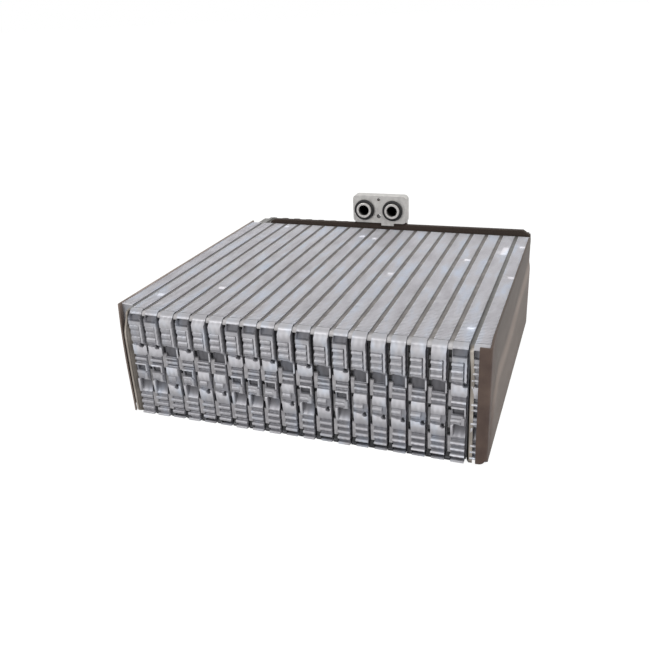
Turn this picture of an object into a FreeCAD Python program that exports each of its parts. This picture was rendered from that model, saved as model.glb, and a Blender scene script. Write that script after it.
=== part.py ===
import FreeCAD, Part
import math
import os

# Laminated evaporator core, lying on one air face.
# Frame: +X along the stack of tubes, +Y from the louvred front to the tank,
# +Z along the air flow, origin at the middle of the underside, millimetres.

V = FreeCAD.Vector

# Stack: flat tubes with one corrugated fin between each pair
tube_count = 20
tube_thickness = 3.0
fin_width = 10.0
core_depth = 85.4
core_length = 237.0

# Flat tubes: two pressed plates brazed into one, with tank cups at the rear
tube_edge_inset = 1.0
tube_lower_inset = 0.2
tube_front_recess = 5.0
end_tube_front_recess = 0.6
tube_nose_height = 3.2
tube_nose_recess = 1.4
tube_corner = 3.0
tube_foot_height = 2.4
tube_foot_recess = 2.0
tank_length = 38.0
tank_corner = 16.0
tank_waist_height = 9.0
tank_waist_depth = 7.0
cup_lip = 1.5
cup_gap_to_fin = 1.5

# Corrugated fins
fin_sheet = 0.4
fin_fold_step = 14.0
fin_front_sheet = 0.8
fin_face_setback = 1.2
fin_curl_radius = 3.5
relief_height = 0.9
slat_height = 2.6
slat_side_margin = 0.4
rail_width = 2.6
rail_gap = 0.3
window_width = 7.6

# Upper louvre bank and its two lands, measured down from the fin's upper edge
upper_slats = (14.4, 19.5, 24.4)
upper_rail = (12.0, 26.6)
upper_pads = ((4.0, 12.0), (27.6, 35.4))
upper_windows = ((6.0, 11.8), (28.6, 34.4))

# Middle louvre banks and their land, measured down from the fin's middle
middle_slats = (-4.2, -1.1, 11.9)
middle_pads = ((1.9, 9.3),)
middle_windows = ((4.3, 8.7),)

# Lower louvre bank and its land, measured up from the fin's lower edge
lower_slats = (15.9, 11.2, 6.5)
lower_rail = (4.2, 18.0)
lower_pads = ((18.8, 26.8),)
lower_windows = ((19.6, 25.6),)

# Which way round each fin is put in: 1 starts with a window, 0 with a pad
fin_turns = (0, 1, 1, 0, 1, 0, 0, 1, 1, 1, 0, 1, 0, 1, 0, 0, 0, 0, 0, 1, 0)

# End plates
plate_sheet = 1.5
plate_foot_clearance = 2.6
plate_top_rise = 0.4
plate_overlap = 3.0
left_plate_setback = 8.0
left_fin_setback = 0.8
right_flange_width = 7.6
plate_corner = 5.0

# Tank ends
tank_cap_thickness = 3.0
tank_cap_bevel = 1.2

# Foam seal strip along the tank's upper front edge
strip_left_height = 4.2
strip_right_height = 5.6
strip_pad_height = 6.3
strip_pad_inset = 1.0
strip_depth = 5.0
strip_left_inset = 20.0
strip_left_round = 6.0
strip_right_slope = 6.5

# Connector block with two ports, facing forward
block_width = 51.6
block_height = 26.0
block_thickness = 9.0
block_corner = 4.0
block_overhang = 1.6
block_centre_x = -2.5
port_offset = -0.8
port_spacing = 27.0
port_height = 12.4
port_bore_radius = 4.85
stub_wall = 2.15
stub_length = 4.0
ring_section = 2.8
ring_sides = 6
ring_steps = 28
screw_hole_radius = 2.0
screw_hole_height = 6.4
locating_hole_radius = 1.4
locating_hole_depth = 4.0
locating_hole_height = 22.0
block_foot_width = 12.0
block_foot_offset = 7.5
block_foot_drop = 2.4
block_foot_sheet = 1.2

# Pipes from the block down into the tank
pipe_radius = 6.0
pipe_bend_radius = 10.0
pipe_lead = 1.0
pipe_sides = 16
pipe_bend_steps = 5
saddle_thickness = 3.0
saddle_margin = 2.5

# Derived places
pitch = tube_thickness + fin_width
half_stack = (tube_count * tube_thickness + (tube_count + 1) * fin_width) / 2.0
half_width = half_stack + plate_sheet
front_y = -(core_length + tank_length - plate_sheet) / 2.0
tank_y = front_y + core_length
rear_y = tank_y + tank_length
tube_bottom_z = tube_lower_inset
tube_top_z = core_depth - tube_edge_inset
first_tube_x = -(tube_count - 1) * pitch / 2.0
first_fin_x = first_tube_x - pitch / 2.0
strip_y = tank_y + cup_gap_to_fin
block_y = strip_y - block_overhang
block_bottom_z = tube_top_z + strip_pad_height
port_z = block_bottom_z + port_height
stub_radius = port_bore_radius + stub_wall


def extrude_yz(points, x_start, x_end):
    """Prism along X over a closed outline given as (y, z) pairs."""
    loop = [V(x_start, y, z) for y, z in points]
    face = Part.Face(Part.makePolygon(loop + loop[:1]))
    return face.extrude(V(x_end - x_start, 0, 0))


def extrude_xy(points, z_start, z_end):
    """Prism along Z over a closed outline given as (x, y) pairs."""
    loop = [V(x, y, z_start) for x, y in points]
    face = Part.Face(Part.makePolygon(loop + loop[:1]))
    return face.extrude(V(0, 0, z_end - z_start))


def extrude_xz(points, y_start, y_end):
    """Prism along Y over a closed outline given as (x, z) pairs."""
    loop = [V(x, y_start, z) for x, z in points]
    face = Part.Face(Part.makePolygon(loop + loop[:1]))
    return face.extrude(V(0, y_end - y_start, 0))


def box(x0, x1, y0, y1, z0, z1):
    """Box between two corners."""
    return Part.makeBox(x1 - x0, y1 - y0, z1 - z0, V(x0, y0, z0))


def one_solid(shape):
    """The single cleaned solid of a fused shape."""
    clean = shape.removeSplitter()
    return clean.Solids[0] if len(clean.Solids) == 1 else clean


def save(shape, node):
    """Write one sub-part."""
    shape.exportStep("parts/%s.step" % node)


def corner(centre_y, centre_z, radius, start, end, steps):
    """Points of a rounded corner, from one angle to another."""
    pts = []
    for i in range(steps + 1):
        a = math.radians(start + (end - start) * i / steps)
        pts.append((centre_y + radius * math.cos(a), centre_z + radius * math.sin(a)))
    return pts


def round_loop(centre, u, v, radius, sides):
    """Corner points of a regular outline round a centre, in the plane of u and v."""
    loop = []
    for i in range(sides):
        a = 2.0 * math.pi * (i + 0.5) / sides
        loop.append(centre + u * (radius * math.cos(a)) + v * (radius * math.sin(a)))
    return loop


def skin(loops, closed):
    """Solid whose flat facets join a row of matching outlines; closed joins the last to the first."""
    faces = []
    count = len(loops)
    for i in range(count if closed else count - 1):
        a, b = loops[i], loops[(i + 1) % count]
        for j in range(len(a)):
            k = (j + 1) % len(a)
            faces.append(Part.Face(Part.makePolygon([a[j], a[k], b[k], b[j], a[j]])))
    if not closed:
        for loop in (loops[0], loops[-1]):
            faces.append(Part.Face(Part.makePolygon(loop + loop[:1])))
    solid = Part.Solid(Part.Shell(faces))
    if solid.Volume < 0:
        solid.reverse()
    return solid


def fold_outline(setback):
    """Plan outline of the folded sheet: a zigzag whose crests meet the tubes on both sides."""
    reach = fin_width / 2.0
    start = front_y + setback + fin_front_sheet - fin_sheet / 2.0
    end = tank_y - tube_edge_inset
    walls = max(2, int(round((end - start) / fin_fold_step)))
    step = (end - start) / walls
    middle = reach
    for _ in range(12):
        slope = math.atan2(step, 2.0 * middle)
        middle = reach - fin_sheet / 2.0 / math.sin(slope)
    inner = 2.0 * middle - reach
    left, right = [], []
    for i in range(walls + 1):
        y = start + i * step
        if i % 2 == 0:
            left.append((inner, y))
            right.append((reach, y))
        else:
            left.append((-reach, y))
            right.append((-inner, y))
    return left + right[::-1]


def fin_front():
    """Front wall of the fin, curled back at its upper edge."""
    y0 = front_y + fin_face_setback
    y1 = y0 + fin_front_sheet
    r = fin_curl_radius
    half = fin_width / 2.0
    centre_y = y0 + r
    centre_z = core_depth - r
    outer = corner(centre_y, centre_z, r, 180, 90, 3)
    inner = corner(centre_y, centre_z, r - fin_front_sheet, 90, 180, 2)
    return extrude_yz([(y0, 0)] + outer + inner + [(y1, 0)], -half, half)


def slat(z, x0, x1):
    """One louvre slat at height z standing out of the front wall, with its lip at the lower edge."""
    y = front_y + fin_face_setback
    half = slat_height / 2.0
    lip = z - half * 0.55
    return extrude_yz([(y + fin_front_sheet / 2.0, z + half), (y, z + half), (y - relief_height, lip),
                       (y, z - half), (y + fin_front_sheet / 2.0, z - half)], x0, x1)


def raised(span, x0, x1):
    """Raised flat on the front wall between two heights."""
    y = front_y + fin_face_setback
    return box(x0, x1, y - relief_height, y + fin_front_sheet / 2.0, span[0], span[1])


def opened(span):
    """Window through the front wall between two heights."""
    y = front_y + fin_face_setback
    half = window_width / 2.0
    return box(-half, half, y - relief_height, y + fin_front_sheet, span[0], span[1])


def heights(upper, middle, lower):
    """Heights of spans measured from the fin's upper edge, its middle and its lower edge."""
    rows = [(core_depth - b, core_depth - a) for a, b in upper]
    rows += [(core_depth / 2.0 - b, core_depth / 2.0 - a) for a, b in middle]
    return rows + list(lower)


def make_fin(turn):
    """Corrugated fin with its louvred front wall; turn tells which flats are open windows."""
    half = fin_width / 2.0
    edge = half - slat_side_margin
    pieces = [extrude_xy(fold_outline(fin_face_setback), 0, core_depth)]
    for down in upper_slats:
        pieces.append(slat(core_depth - down, -edge, half - rail_width - rail_gap))
    for down in middle_slats:
        pieces.append(slat(core_depth / 2.0 - down, -edge, edge))
    for up in lower_slats:
        pieces.append(slat(up, -half + rail_width + rail_gap, edge))
    pieces.append(raised((core_depth - upper_rail[1], core_depth - upper_rail[0]), half - rail_width, half))
    pieces.append(raised(lower_rail, -half, -half + rail_width))
    is_window = [(row + turn + (1 if row > 1 else 0)) % 2 == 1 for row in range(4)]
    pads = heights(upper_pads, middle_pads, lower_pads)
    windows = heights(upper_windows, middle_windows, lower_windows)
    pieces += [raised(pads[row], -edge, edge) for row in range(4) if not is_window[row]]
    wall = fin_front().multiFuse(pieces)
    cuts = [opened(windows[row]) for row in range(4) if is_window[row]]
    return one_solid(wall.cut(cuts[0].multiFuse(cuts[1:])))


def make_left_fin():
    """Outermost fin on the left, which starts just behind the front edge of its end plate."""
    return extrude_xy(fold_outline(left_plate_setback + left_fin_setback), 0, core_depth)


def make_right_fin():
    """Outermost fin on the right, with a curled lead-in above plain folds."""
    return one_solid(fin_front_strip().fuse(extrude_xy(fold_outline(fin_face_setback), 0, core_depth)))


def fin_front_strip():
    """Curled lead-in along the upper edge of the outermost fin."""
    full = fin_front()
    y = front_y + fin_face_setback
    cut = box(-fin_width, fin_width, y - relief_height, y + fin_curl_radius * 2.0,
              -1.0, core_depth - fin_curl_radius * 1.6)
    keep = full.cut(cut)
    return keep


def tank_outline(inset, y_front):
    """Outline of the cups in side view: two chambers with a waist between them."""
    z0 = tube_bottom_z + inset
    z1 = tube_top_z - inset
    y1 = rear_y - inset
    r = tank_corner - inset
    mid = (z0 + z1) / 2.0
    waist = tank_waist_height / 2.0 + inset
    pts = [(y_front, z0)]
    pts += corner(y1 - r, z0 + r, r, -90, 0, 3)
    pts += [(y1, mid - waist), (y1 - tank_waist_depth, mid - waist / 3.0),
            (y1 - tank_waist_depth, mid + waist / 3.0), (y1, mid + waist)]
    pts += corner(y1 - r, z1 - r, r, 0, 90, 3)
    pts += [(y_front, z1)]
    return pts


def make_tube(is_end):
    """Flat tube: brazed plate pair, with the cups that stack into the tank."""
    z0, z1 = tube_bottom_z, tube_top_z
    c = tube_corner
    if is_end:
        y = front_y + end_tube_front_recess
        front = [(y + c, z1), (y + c * 0.3, z1 - c * 0.3), (y, z1 - c),
                 (y, z0 + c), (y + c * 0.3, z0 + c * 0.3), (y + c, z0)]
    else:
        nose = front_y + tube_nose_recess
        foot = front_y + tube_foot_recess
        y = front_y + tube_front_recess
        front = [(nose + tube_nose_height * 0.5, z1), (nose, z1 - tube_nose_height * 0.5),
                 (nose, z1 - tube_nose_height), (y, z1 - tube_nose_height * 1.6),
                 (y, z0 + tube_foot_height * 1.6), (foot, z0 + tube_foot_height),
                 (foot, z0 + tube_foot_height * 0.4), (foot + tube_foot_height * 0.4, z0)]
    rim = tank_outline(0.0, 0.0)[1:-1]
    half = tube_thickness / 2.0
    plate = extrude_yz(front + rim, -half, half)
    cups = extrude_yz(tank_outline(cup_lip, tank_y + cup_gap_to_fin), -pitch / 2.0, pitch / 2.0)
    return one_solid(plate.fuse(cups))


def make_tank_cap():
    """Pressed cap that closes the cups at the end of the stack, bevelled outside."""
    base = extrude_yz(tank_outline(cup_lip, tank_y + cup_gap_to_fin), 0, tank_cap_thickness - tank_cap_bevel)
    inset = cup_lip + tank_cap_bevel
    crown = extrude_yz(tank_outline(inset, tank_y + cup_gap_to_fin + tank_cap_bevel),
                       tank_cap_thickness - tank_cap_bevel, tank_cap_thickness)
    return one_solid(base.fuse(crown))


def make_left_plate():
    """Flat end plate on the left, set back from the front."""
    y0 = front_y + left_plate_setback
    y1 = tank_y + plate_overlap
    z0 = plate_foot_clearance
    z1 = core_depth + plate_top_rise
    c = plate_corner
    pts = [(y0 + c, z0), (y1, z0), (y1, z1 - c), (y1 - c, z1), (y0, z1), (y0, z0 + c)]
    return extrude_yz(pts, -half_width, -half_stack)


def make_right_plate():
    """End plate on the right, with a flange folded across the front of the outermost fin."""
    y0 = front_y - plate_sheet
    y1 = tank_y + plate_overlap
    z0 = plate_foot_clearance
    z1 = core_depth + plate_top_rise
    c = plate_corner
    panel = extrude_yz([(y0, z0), (y1, z0), (y1, z1 - c), (y1 - c, z1), (y0, z1)],
                       half_stack, half_width)
    x0 = half_width - right_flange_width
    flange = box(x0, half_width, y0, front_y, z0, z1)
    body = panel.fuse(flange)
    outer = [(half_width - c * 0.6, z0), (half_width, z0), (half_width, z0 + c)]
    body = body.cut(extrude_xz(outer, y0, front_y + c))
    return one_solid(body)


def make_strip():
    """Foam seal strip on the front upper edge of the tank, higher where it carries the block."""
    x0 = -half_width + strip_left_inset
    x1 = half_stack
    z0 = tube_top_z
    left = x0 + strip_left_round
    right = x1 - strip_right_slope
    rise = (strip_right_height - strip_left_height) / (right - left)
    pad_left = block_centre_x - block_width / 2.0 + strip_pad_inset
    pad_right = block_centre_x + block_width / 2.0 - strip_pad_inset
    pts = [(x0, z0), (x0 + strip_left_round * 0.25, z0 + strip_left_height * 0.6),
           (left, z0 + strip_left_height),
           (pad_left, z0 + strip_left_height + rise * (pad_left - left)), (pad_left, block_bottom_z),
           (pad_right, block_bottom_z), (pad_right, z0 + strip_left_height + rise * (pad_right - left)),
           (right, z0 + strip_right_height), (x1, z0 + strip_right_height * 0.2), (x1, z0)]
    return extrude_xz(pts, strip_y, strip_y + strip_depth)


def port_x(side):
    """Centre of a port: side is -1 for the left one, 1 for the right one and 0 for midway."""
    return block_centre_x + port_offset + side * port_spacing / 2.0


def make_block():
    """Connector block with two port holes, a fixing screw hole and a locating hole."""
    x0 = block_centre_x - block_width / 2.0
    z0 = block_bottom_z
    body = Part.makeBox(block_width, block_thickness, block_height, V(x0, block_y, z0))
    upright = [e for e in body.Edges
               if abs(e.Vertexes[0].Point.y - e.Vertexes[1].Point.y) > block_thickness / 2.0]
    body = body.makeFillet(block_corner, upright)
    foot_x = block_centre_x + block_foot_offset
    foot = box(foot_x - block_foot_width / 2.0, foot_x + block_foot_width / 2.0,
               block_y, block_y + block_foot_sheet, z0 - block_foot_drop, z0 + block_corner)
    body = body.fuse(foot)
    for side in (-1, 1):
        body = body.cut(Part.makeCylinder(stub_radius, block_thickness, V(port_x(side), block_y, port_z),
                                          V(0, 1, 0)))
    body = body.cut(Part.makeCylinder(screw_hole_radius, block_thickness,
                                      V(port_x(0), block_y, z0 + screw_hole_height), V(0, 1, 0)))
    body = body.cut(Part.makeCylinder(locating_hole_radius, locating_hole_depth,
                                      V(port_x(0), block_y, z0 + locating_hole_height),
                                      V(0, 1, 0)))
    return one_solid(body)


def make_stub(side):
    """Port tube through the block, standing out of its front face."""
    x = port_x(side)
    y = block_y - stub_length
    length = stub_length + block_thickness
    tube = Part.makeCylinder(stub_radius, length, V(x, y, port_z), V(0, 1, 0))
    hole = Part.makeCylinder(port_bore_radius, length, V(x, y, port_z), V(0, 1, 0))
    return tube.cut(hole)


def make_ring(side):
    """O-ring round the port tube, lying against the block's face."""
    r = ring_section / 2.0
    middle = stub_radius + r
    loops = []
    for i in range(ring_steps):
        a = 2.0 * math.pi * i / ring_steps
        out = V(math.cos(a), 0, math.sin(a))
        loops.append(round_loop(V(port_x(side), block_y - r, port_z) + out * middle,
                                out, V(0, 1, 0), r, ring_sides))
    return skin(loops, True)


def saddle_top():
    """Height of the saddle's upper face."""
    return tube_top_z + saddle_thickness


def make_pipe(side):
    """Pipe that leaves the back of the block, turns down and enters the saddle on the tank."""
    x = port_x(side)
    y0 = block_y + block_thickness
    y1 = y0 + pipe_lead
    b = pipe_bend_radius
    across = V(1, 0, 0)
    loops = [round_loop(V(x, y0, port_z), across, V(0, 0, 1), pipe_radius, pipe_sides)]
    for i in range(pipe_bend_steps + 1):
        a = math.pi / 2.0 * i / pipe_bend_steps
        up = V(0, math.sin(a), math.cos(a))
        loops.append(round_loop(V(x, y1, port_z - b) + up * b, across, up, pipe_radius, pipe_sides))
    loops.append(round_loop(V(x, y1 + b, saddle_top()), across, V(0, 1, 0), pipe_radius, pipe_sides))
    return skin(loops, False)


def make_saddle():
    """Saddle plate brazed across the cups, which carries both pipes."""
    x0 = port_x(-1) - pipe_radius - saddle_margin
    x1 = port_x(1) + pipe_radius + saddle_margin
    y = block_y + block_thickness + pipe_lead + pipe_bend_radius
    half = pipe_radius + saddle_margin
    c = half / 2.0
    pts = [(x0 + c, y - half), (x1 - c, y - half), (x1, y - half + c), (x1, y + half - c),
           (x1 - c, y + half), (x0 + c, y + half), (x0, y + half - c), (x0, y - half + c)]
    return extrude_xy(pts, tube_top_z, saddle_top())


def main():
    os.makedirs("parts", exist_ok=True)
    plain_tube = make_tube(False)
    outer_tube = make_tube(True)
    for k in range(tube_count):
        shape = outer_tube if k in (0, tube_count - 1) else plain_tube
        save(shape.translated(V(first_tube_x + k * pitch, 0, 0)), "flat_tube_%02d" % (k + 1))
    fins = {0: make_fin(0), 1: make_fin(1)}
    end_fins = {0: make_left_fin(), tube_count: make_right_fin()}
    for k in range(tube_count + 1):
        shape = end_fins[k] if k in end_fins else fins[fin_turns[k % len(fin_turns)]]
        save(shape.translated(V(first_fin_x + k * pitch, 0, 0)), "fin_%02d" % (k + 1))
    save(make_left_plate(), "end_plate_left")
    save(make_right_plate(), "end_plate_right")
    cap = make_tank_cap()
    cap_x = -first_tube_x + pitch / 2.0
    save(cap.translated(V(cap_x, 0, 0)), "tank_cap_right")
    save(cap.mirror(V(0, 0, 0), V(1, 0, 0)).translated(V(-cap_x, 0, 0)), "tank_cap_left")
    save(make_strip(), "seal_strip")
    save(make_block(), "connector_block")
    for side, name in ((-1, "left"), (1, "right")):
        save(make_stub(side), "port_stub_" + name)
        save(make_ring(side), "o_ring_" + name)
        save(make_pipe(side), "pipe_" + name)
    save(make_saddle(), "pipe_saddle")


main()
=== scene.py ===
# %% [markdown]
# # Evaporator core
# This lesson dresses the core of a car evaporator: a stack of flat tubes with louvred fins between
# them, two end plates, a foam seal along the tank and a connector block with two ports.
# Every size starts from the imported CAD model, which is loaded first and never changed.

# %% Load the frame
import math
import bpy
import bmesh
import numpy as np
from mathutils import Matrix, Vector


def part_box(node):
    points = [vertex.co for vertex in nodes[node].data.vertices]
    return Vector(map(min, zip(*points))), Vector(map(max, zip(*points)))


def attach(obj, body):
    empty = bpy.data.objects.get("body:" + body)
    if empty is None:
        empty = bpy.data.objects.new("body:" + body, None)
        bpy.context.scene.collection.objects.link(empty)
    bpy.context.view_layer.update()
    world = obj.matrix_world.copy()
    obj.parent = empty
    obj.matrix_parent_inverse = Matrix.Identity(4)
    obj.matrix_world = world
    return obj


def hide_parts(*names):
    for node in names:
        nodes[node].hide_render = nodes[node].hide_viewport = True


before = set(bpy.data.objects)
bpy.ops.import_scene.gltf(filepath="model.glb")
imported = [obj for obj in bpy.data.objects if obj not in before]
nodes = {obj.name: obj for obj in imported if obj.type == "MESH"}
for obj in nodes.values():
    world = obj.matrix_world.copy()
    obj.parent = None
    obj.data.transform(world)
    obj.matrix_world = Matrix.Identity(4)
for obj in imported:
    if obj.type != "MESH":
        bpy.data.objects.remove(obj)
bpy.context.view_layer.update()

rng = np.random.default_rng(11)
MM = 0.001
X, Y, Z = 0, 1, 2
print("CAD nodes:", len(nodes))

# %% [markdown]
# ## Colour and node helpers
# Colours are written as sRGB hex values, as a picture editor shows them, and turned to linear light
# once. One function adds any shader node, sets its values and joins its inputs, so a material reads
# as a short list of what happens to the surface.

# %% Colour and node helpers
def linear(hex_colour):
    """Linear RGBA of an sRGB hex colour: values over 0.04045 are ((c + 0.055) / 1.055) to the power 2.4."""
    channels = [int(hex_colour[i:i + 2], 16) / 255.0 for i in (0, 2, 4)]
    return [c / 12.92 if c <= 0.04045 else ((c + 0.055) / 1.055) ** 2.4 for c in channels] + [1.0]


def grey(value):
    """Neutral colour of a linear brightness."""
    return (value, value, value, 1.0)


def add_node(tree, kind, inputs=None, **settings):
    """Add a shader node; inputs maps a socket's name or number to a value or to another node's output."""
    node = tree.nodes.new("ShaderNode" + kind)
    for name, value in settings.items():
        setattr(node, name, value)
    for socket, value in (inputs or {}).items():
        if isinstance(value, bpy.types.NodeSocket):
            tree.links.new(value, node.inputs[socket])
        else:
            node.inputs[socket].default_value = value
    return node


def new_material(name, **surface):
    """Material with one Principled shader; returns the material, its tree and the shader node."""
    material = bpy.data.materials.new(name)
    material.use_nodes = True
    tree = material.node_tree
    shader = tree.nodes["Principled BSDF"]
    for socket, value in surface.items():
        shader.inputs[socket.replace("_", " ")].default_value = value
    material.diffuse_color = linear("808080")
    return material, tree, shader


# %% Fields, ramps and masks
def noise_field(tree, size_mm, detail=3.0, stretch=(1, 1, 1)):
    """Noise whose lumps are about size_mm across, on the object's own coordinates, stretched per axis."""
    place = add_node(tree, "TexCoord")
    scale = [1.0 / (size_mm * MM * s) for s in stretch]
    turn = add_node(tree, "Mapping", {"Vector": place.outputs["Object"], "Scale": scale})
    noise = add_node(tree, "TexNoise", {"Vector": turn.outputs[0], "Scale": 1.0, "Detail": detail})
    return noise.outputs["Fac"]


def ramp(tree, factor, stops):
    """Colour ramp over a factor; stops are (position, colour), a colour as hex or as linear RGBA."""
    node = add_node(tree, "ValToRGB", {"Fac": factor})
    band = node.color_ramp
    while len(band.elements) < len(stops):
        band.elements.new(0.5)
    for element, (position, colour) in zip(band.elements, stops):
        element.position = position
        element.color = linear(colour) if isinstance(colour, str) else colour
    return node.outputs[0]


def blend(tree, share, first, second, **settings):
    """Colour that goes from the first to the second as the share goes from 0 to 1."""
    return add_node(tree, "Mix", {0: share, 6: first, 7: second}, data_type="RGBA", **settings).outputs[2]


def math_node(tree, operation, first, second):
    """One arithmetic step on two values or outputs."""
    return add_node(tree, "Math", {0: first, 1: second}, operation=operation).outputs[0]


def place_mask(tree, axis, start_mm, end_mm):
    """0 to 1 as the object coordinate on an axis goes from start to end, in millimetres."""
    place = add_node(tree, "TexCoord")
    parts = add_node(tree, "SeparateXYZ", {0: place.outputs["Object"]})
    return add_node(tree, "MapRange", {0: parts.outputs[axis], 1: start_mm * MM, 2: end_mm * MM, 3: 0.0,
                                       4: 1.0}, interpolation_type="SMOOTHSTEP").outputs[0]


# %% Colour and bump of a finish
def hollow_tone(tree, tone, dark, middle, face=1.0):
    """Darken a colour by the piece's hollow attribute, as painted shade: 0 on cut edges, 0.2 on pressed
    faces, where the tone falls to face times itself, and 1 deep in the gaps, where hardly any light
    comes back."""
    place = add_node(tree, "Attribute", attribute_name="hollow")
    deep = ramp(tree, place.outputs["Fac"], [(0.0, grey(1)), (0.2, grey(face)), (0.55, middle), (1.0, dark)])
    return blend(tree, 1.0, tone, deep, blend_type="MULTIPLY")


def paint(tree, shader, colour, grain=None, depth_mm=0.0):
    """Give the shader its colour and, with a grain, a bump whose full range stands for depth_mm."""
    tree.links.new(colour, shader.inputs["Base Color"])
    if grain is not None:
        node = add_node(tree, "Bump", {"Height": grain, "Distance": depth_mm * MM, "Strength": 1.0})
        tree.links.new(node.outputs[0], shader.inputs["Normal"])


# %% [markdown]
# ## Finishes
# Nearly everything here is aluminium, but each piece got its surface another way. The fins are
# rolled foil, bright and slightly streaked. The tube plates were brazed in a furnace, which leaves
# a dull skin of flux. The block is machined, and the end plates carry a brown coat.

# %% Rolled fin foil
# Rolled aluminium foil after brazing: a soft bright metal. Rolling and flux blur its reflections,
# and faint lighter and darker stains run along each fin.
foil, tree, shader = new_material("rolled_aluminium_foil", Metallic=0.5, Roughness=0.42)
stains = noise_field(tree, 16.0, 3.0, (0.6, 2.2, 1.0))
tone = ramp(tree, stains, [(0.30, "d6d4d9"), (0.50, "e4e3e8"), (0.72, "e6ecf8")])
# Painted shade: the hollow value darkens the wall's recesses and the foil between its folds, and is low at
# the curl for a painted highlight.
tone = hollow_tone(tree, tone, (0.035, 0.035, 0.038, 1), (0.28, 0.28, 0.29, 1), 0.50)
paint(tree, shader, tone, noise_field(tree, 0.9, 2.0), 0.035)

# %% Brazed tube plates and lips
# Clad aluminium plate after brazing: flux and filler leave a dull grey skin. Its front ends, deep
# between the fins, are painted near black as shade, less dark lower down, and the upper noses get a
# painted highlight where light from above reaches them. Each pair is where one tone starts to give
# way to the next and where it has, in millimetres.
SLOT_SHADE_END_Y = (-133.5, -127.0)
LOWER_SHADE_END_Z = (50.0, 60.0)
NOSE_HIGHLIGHT_START_Z = (80.5, 82.0)
plate_skin, tree, shader = new_material("brazed_aluminium_plate", Metallic=0.5, Roughness=0.55)
patches = noise_field(tree, 9.0, 4.0)
spots = noise_field(tree, 5.0, 2.0)
tone = ramp(tree, patches, [(0.32, "6c6865"), (0.60, "7d7976"), (0.78, "918c89")])
slot_shade = ramp(tree, spots, [(0.48, "0a0a0c"), (0.66, "2e2e31")])
lower_slot_shade = ramp(tree, spots, [(0.40, "2e2e32"), (0.66, "6c6c70")])
nose_highlight = ramp(tree, patches, [(0.32, "9a9899"), (0.78, "bcbabb")])
front = blend(tree, place_mask(tree, Z, *LOWER_SHADE_END_Z), lower_slot_shade, slot_shade)
front = blend(tree, place_mask(tree, Z, *NOSE_HIGHLIGHT_START_Z), front, nose_highlight)
tone = blend(tree, place_mask(tree, Y, *SLOT_SHADE_END_Y), front, tone)
paint(tree, shader, tone, noise_field(tree, 0.8, 3.0), 0.06)

# The outermost tubes reach the front, where their rubbed edges are light and slightly tan.
RUBBED_END_Y = (-134.5, -130.0)
edge_skin, tree, shader = new_material("rubbed_aluminium_plate", Metallic=0.5, Roughness=0.45)
patches = noise_field(tree, 7.0, 3.0, (1.0, 1.0, 2.0))
tone = ramp(tree, patches, [(0.32, "6e6d6a"), (0.60, "807e7b")])
lighter_band = ramp(tree, patches, [(0.32, "7f7871"), (0.60, "9d958c"), (0.78, "bab4ac")])
tone = blend(tree, place_mask(tree, Y, *RUBBED_END_Y), lighter_band, tone)
# Painted shade on the inner side of the bent edge, by the hollow value.
tone = hollow_tone(tree, tone, grey(0.02), grey(0.12), 0.6)
paint(tree, shader, tone, noise_field(tree, 0.8, 3.0), 0.05)

# The lips at the tubes' front are scraped lighter than the rest, and painted black as shade where they are
# set back.
lip_skin, tree, shader = new_material("scraped_tube_lip", Metallic=0.45, Roughness=0.46)
tone = ramp(tree, noise_field(tree, 5.0, 3.0), [(0.32, "8f8d90"), (0.75, "b3b1b3")])
paint(tree, shader, hollow_tone(tree, tone, (0.03, 0.03, 0.032, 1), (0.16, 0.17, 0.17, 1), 0.8))

# %% Coated end plate
# Coated sheet: a satin brown-grey coat over pressed sheet, with soft drawn streaks and a painted
# highlight along the panel's drawn wavy line. It is darker on the flange and the bend, and half as
# much so at the front of the left plate.
PANEL_START_Y = (-134.0, -102.0)
LEFT_PLATE_X = (-110.0, -125.0)
coat, tree, shader = new_material("coated_end_plate", Roughness=0.55, Specular_IOR_Level=0.2)
streaks = noise_field(tree, 16.0, 3.0, (1.0, 3.0, 0.8))
tone = ramp(tree, streaks, [(0.30, "a3958b"), (0.55, "ae9f95"), (0.80, "bcada3")])
tone = hollow_tone(tree, tone, grey(0.06), grey(0.12), 0.23)
flange_tone = ramp(tree, streaks, [(0.30, "453833"), (0.80, "584a42")])
left_plate = math_node(tree, "MULTIPLY", place_mask(tree, X, *LEFT_PLATE_X), 0.5)
panel = math_node(tree, "MAXIMUM", place_mask(tree, Y, *PANEL_START_Y), left_plate)
paint(tree, shader, blend(tree, panel, flange_tone, tone), noise_field(tree, 1.2, 3.0), 0.04)

# %% Machined block, drawn tube, rubber and foam
# Extruded and machined aluminium: fine blasted grain, even and light. Its holes are painted dark inside as
# shade.
block_metal, tree, shader = new_material("machined_aluminium_block", Metallic=0.5, Roughness=0.42)
tone = ramp(tree, noise_field(tree, 5.0, 3.0), [(0.30, "b7b5b2"), (0.75, "cfcdc9")])
tone = hollow_tone(tree, tone, linear("141416"), linear("5a5a5c"))
paint(tree, shader, tone, noise_field(tree, 0.8, 2.0), 0.10)

# Drawn aluminium tube: smooth, with faint lines along its length, and painted dark as shade in its bore.
tube_metal, tree, shader = new_material("drawn_aluminium_tube", Metallic=0.6, Roughness=0.33)
lines = noise_field(tree, 1.0, 2.0, (1.0, 12.0, 1.0))
tone = ramp(tree, lines, [(0.30, "c2bfbb"), (0.75, "dedbd7")])
tone = hollow_tone(tree, tone, linear("101012"), linear("2c2c2e"))
paint(tree, shader, tone, lines, 0.03)

# Nitrile rubber: near black, with only a dull moulded sheen.
rubber, tree, shader = new_material("nitrile_rubber", Roughness=0.62)
paint(tree, shader, ramp(tree, noise_field(tree, 3.0, 3.0), [(0.35, "0c0c0d"), (0.80, "18181a")]))

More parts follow.
